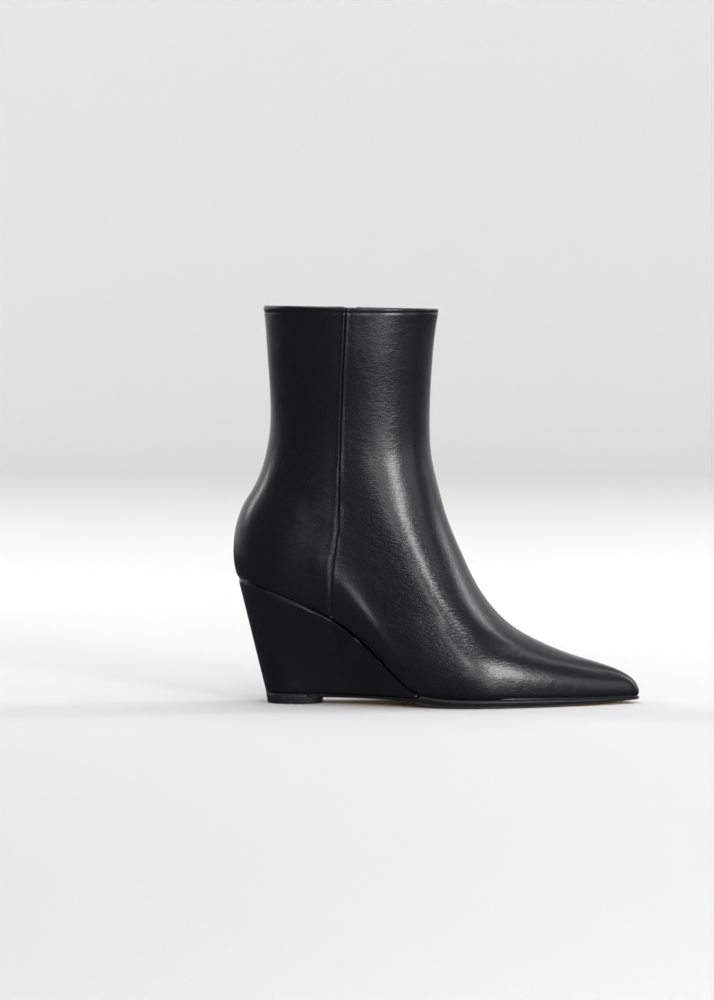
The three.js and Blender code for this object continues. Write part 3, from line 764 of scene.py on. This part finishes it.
# The coil: one turn is modelled, and copied down the chain on both sides of its middle
def chain_frames(count):
    """Places down the middle of the chain, each with the way along it, across it and out of it,
    read off its node."""
    corners = [v.co.copy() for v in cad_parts["zip_teeth"].data.vertices]
    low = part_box("zip_teeth")[0].z + 1.5 * MM
    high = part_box("zip_teeth")[1].z - 1.0 * MM
    rough = []
    for k in range(count + 1):
        height = low + (high - low) * k / count
        weights = [math.exp(-(((c.z - height) / (4 * MM)) ** 2)) for c in corners]
        total = sum(weights)
        middle = sum((c * w for c, w in zip(corners, weights)), Vector()) / total
        spread = Vector()
        for c, w in zip(corners, weights):
            spread += (c - middle) * math.copysign(w, c.x - middle.x)
        rough.append((middle, spread.normalized()))
    frames = []
    for k, (middle, across) in enumerate(rough):
        run = rough[min(k + 1, count)][0] - rough[max(k - 1, 0)][0]
        upward = run.normalized()
        across = (across - upward * across.dot(upward)).normalized()
        out = across.cross(upward)
        if out.y < 0:
            out = -out
        frames.append((middle, upward, across, out))
    return frames


turn_of_coil = rod(COIL_TURN_LENGTH, COIL_WIRE, 8)
turns = []
for middle, upward, across, out in chain_frames(COIL_TURNS):
    for side in (-1, 1):
        shift = upward * COIL_PITCH * MM * (0.25 * side)
        lean = across * side + upward * COIL_LEAN
        place = middle + across * side * COIL_ASIDE * MM + shift
        turns.append(standing(place, lean, out))
zip_coil = repeated("zip_coil", turn_of_coil, turns)
dressed(zip_coil, "boot", "zip_teeth", coil_nylon())
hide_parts("zip_teeth")


# The slider and its tab, their edges broken as castings and stampings have them
def edge_broken(node, name, width):
    piece = traced(node, name)
    finished(piece, ("BEVEL", {"width": width * MM, "segments": 2, "limit_method": "ANGLE",
                               "angle_limit": math.radians(35)}))
    bpy.ops.object.shade_smooth_by_angle(angle=math.radians(40))
    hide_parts(node)
    return piece


zip_slider = edge_broken("zip_slider", "zip_slider_cast", 0.22)
dressed(zip_slider, "boot", "slider_metal", lacquered_zinc())
zip_pull = edge_broken("zip_pull", "zip_pull_tab", 0.2)
dressed(zip_pull, "pull_tab", "pull_nickel", plated_nickel())


# Stitches, laid on the finished leather in rows
def on_leather(start, direction):
    """Where a ray meets the outside of the upper, and the way the leather faces there."""
    hit, place, normal, _ = upper.ray_cast(start * MM, direction.normalized())
    return (place, normal) if hit else None


def stitched(name, row, sink):
    """A row of stitches through points on the leather, each laid towards the next."""
    places = []
    for (place, normal), (following, _) in zip(row, row[1:]):
        middle = (place + following) / 2 - normal * sink * MM
        places.append(standing(middle, following - place, normal))
    made = repeated(name, rod(STITCH_LENGTH, THREAD_THICK, 6), places)
    dressed(made, "boot", "upper_leather", thread)
    return made


def zip_edge_row(aside):
    """Points up the leather beside the zip."""
    points = []
    height = ZIP_END + 1.0
    while height < TOPLINE - 4:
        start = Vector((along(SIDE_LINE, height) + aside, 120, height))
        found = on_leather(start, Vector((0, -1, 0)))
        if found:
            points.append(found)
        height += STITCH_SPACING
    return points


def topline_row():
    """Points round the top edge, in its fold, from one side of the zip to the other."""
    points = []
    middle = Vector((35.0, 0, TOPLINE - TOPLINE_FOLD))
    for k in range(TOPLINE_STITCHES + 1):
        turn = math.radians(97 + 346 * k / TOPLINE_STITCHES)
        way = Vector((math.cos(turn), math.sin(turn), 0))
        found = on_leather(middle + way * 120, -way)
        if found:
            points.append(found)
    return points


def bar_tack(count, width):
    """Upright stitches packed side by side across the zip's lower end."""
    places = []
    for k in range(count):
        aside = width * (k / (count - 1) - 0.5)
        forward = along(SIDE_LINE, ZIP_END) + aside
        found = on_leather(Vector((forward, 120, ZIP_END - BAR_TACK_DROP)), Vector((0, -1, 0)))
        if found:
            place, normal = found
            places.append(standing(place, Vector((0, 0, 1)), normal))
    made = repeated("stitches_bar_tack", rod(BAR_TACK_LENGTH, THREAD_THICK, 6), places)
    dressed(made, "boot", "upper_leather", thread)


thread = bonded_thread()
stitched("stitches_behind_zip", zip_edge_row(-ZIP_STITCH_ASIDE), 0.12)
stitched("stitches_before_zip", zip_edge_row(ZIP_STITCH_ASIDE), 0.12)
stitched("stitches_topline", topline_row(), 0.1)
bar_tack(BAR_TACK_STITCHES, BAR_TACK_WIDTH)


# The studio: a pale floor that sweeps up behind, softboxes and the camera
def soft_box(name, place, aim, width, height, watts, colour="#ffffff"):
    """A rectangular soft light in metres, turned to its aim."""
    light = bpy.data.lights.new(name, "AREA")
    light.shape = "RECTANGLE"
    light.size = width
    light.size_y = height
    light.energy = watts
    light.color = linear(colour)[:3]
    made = bpy.data.objects.new(name, light)
    bpy.context.collection.objects.link(made)
    made.visible_camera = False
    made.location = place
    made.rotation_euler = (Vector(aim) - Vector(place)).to_track_quat("-Z", "Y").to_euler()
    return made


def studio_sweep():
    """A round floor of paper that sweeps up into a wall on every side. Only the wall behind the
    boot shows in its gloss, as in a dark studio with a lit background."""
    bpy.ops.mesh.primitive_circle_add(vertices=96, radius=FLOOR_RADIUS, fill_type="NGON")
    floor = bpy.context.object
    floor.name = "studio_floor"
    bpy.ops.object.mode_set(mode="EDIT")
    bpy.ops.mesh.select_mode(type="FACE")
    bpy.ops.mesh.select_all(action="SELECT")
    bpy.ops.mesh.inset(thickness=0.6, depth=0)
    bpy.ops.object.mode_set(mode="OBJECT")
    rings = [(FLOOR_RADIUS, 0)]
    for k in range(1, SWEEP_STEPS + 1):
        turn = math.radians(90) * k / SWEEP_STEPS
        rings.append((FLOOR_RADIUS + SWEEP_RADIUS * math.sin(turn),
                      SWEEP_RADIUS * (1 - math.cos(turn))))
    rings.append((FLOOR_RADIUS + SWEEP_RADIUS, WALL_HEIGHT))
    bpy.ops.object.mode_set(mode="EDIT")
    bpy.ops.mesh.select_mode(type="EDGE")
    bpy.ops.mesh.select_all(action="DESELECT")
    bpy.ops.mesh.select_non_manifold()
    for (radius, height), (wider, higher) in zip(rings, rings[1:]):
        bpy.ops.mesh.extrude_region_move(TRANSFORM_OT_translate={"value": (0, 0, higher - height)})
        share = wider / radius
        bpy.ops.transform.resize(value=(share, share, 1), center_override=(0, 0, 0))
    bpy.ops.object.mode_set(mode="OBJECT")
    parts = {"studio_floor": floor}
    for name, keep in (("studio_wall_back", 1), ("studio_wall_front", -1)):
        bpy.ops.object.mode_set(mode="EDIT")
        bpy.ops.mesh.select_mode(type="FACE")
        bpy.ops.mesh.select_all(action="DESELECT")
        bpy.ops.object.mode_set(mode="OBJECT")
        for face in floor.data.polygons:
            face.select = face.center.z > 0.001 and face.center.y * keep > 0
        bpy.ops.object.mode_set(mode="EDIT")
        bpy.ops.mesh.separate(type="SELECTED")
        bpy.ops.object.mode_set(mode="OBJECT")
        wall = next(o for o in bpy.context.selected_objects if o != floor)
        wall.name = name
        parts[name] = wall
        alone(floor)
    paper = studio_paper()
    for name, part in parts.items():
        alone(part)
        bpy.ops.object.shade_smooth()
        part.data.materials.append(paper)
        part.visible_glossy = name == "studio_wall_back"


studio_sweep()
soft_box("key_for_instep", (0.38, -2.38, 0.7), (0.08, 0, 0.08), 0.22, 0.26, 5.5)
soft_box("key_for_toe", (1.38, -1.99, 0.74), (0.1, 0, 0.08), 0.46, 0.5, 22)
soft_box("low_fill_for_shaft", (1.0, -2.2, 0.2), (0.05, 0, 0.18), 0.55, 0.36, 2.2)
soft_box("side_fill", (2.3, -1.2, 0.75), (0.05, 0, 0.13), 0.9, 1.0, 3.5)
soft_box("top_bank", (0.35, 0.0, 2.3), (0.25, 0, 0), 2.3, 2.1, 33)
soft_box("back_wash_left", (-2.2, 0.8, 1.6), (-0.4, 3.6, 0.8), 1.2, 1.6, 48)
soft_box("back_wash_right", (2.2, 0.8, 1.6), (0.4, 3.6, 0.8), 1.2, 1.6, 46)

world = bpy.data.worlds.new("studio_air")
world.use_nodes = True
world.node_tree.nodes["Background"].inputs["Color"].default_value = linear("#ffffff")
world.node_tree.nodes["Background"].inputs["Strength"].default_value = AIR_STRENGTH
bpy.context.scene.world = world
bpy.context.scene.view_settings.view_transform = "Standard"

camera_data = bpy.data.cameras.new("camera")
camera_data.lens = CAMERA_LENS_MM
camera_data.sensor_width = SENSOR_WIDTH_MM
camera = bpy.data.objects.new("camera", camera_data)
bpy.context.collection.objects.link(camera)
camera.location = CAMERA_PLACE
camera.rotation_euler = (CAMERA_AIM - CAMERA_PLACE).to_track_quat("-Z", "Y").to_euler()
bpy.context.scene.camera = camera
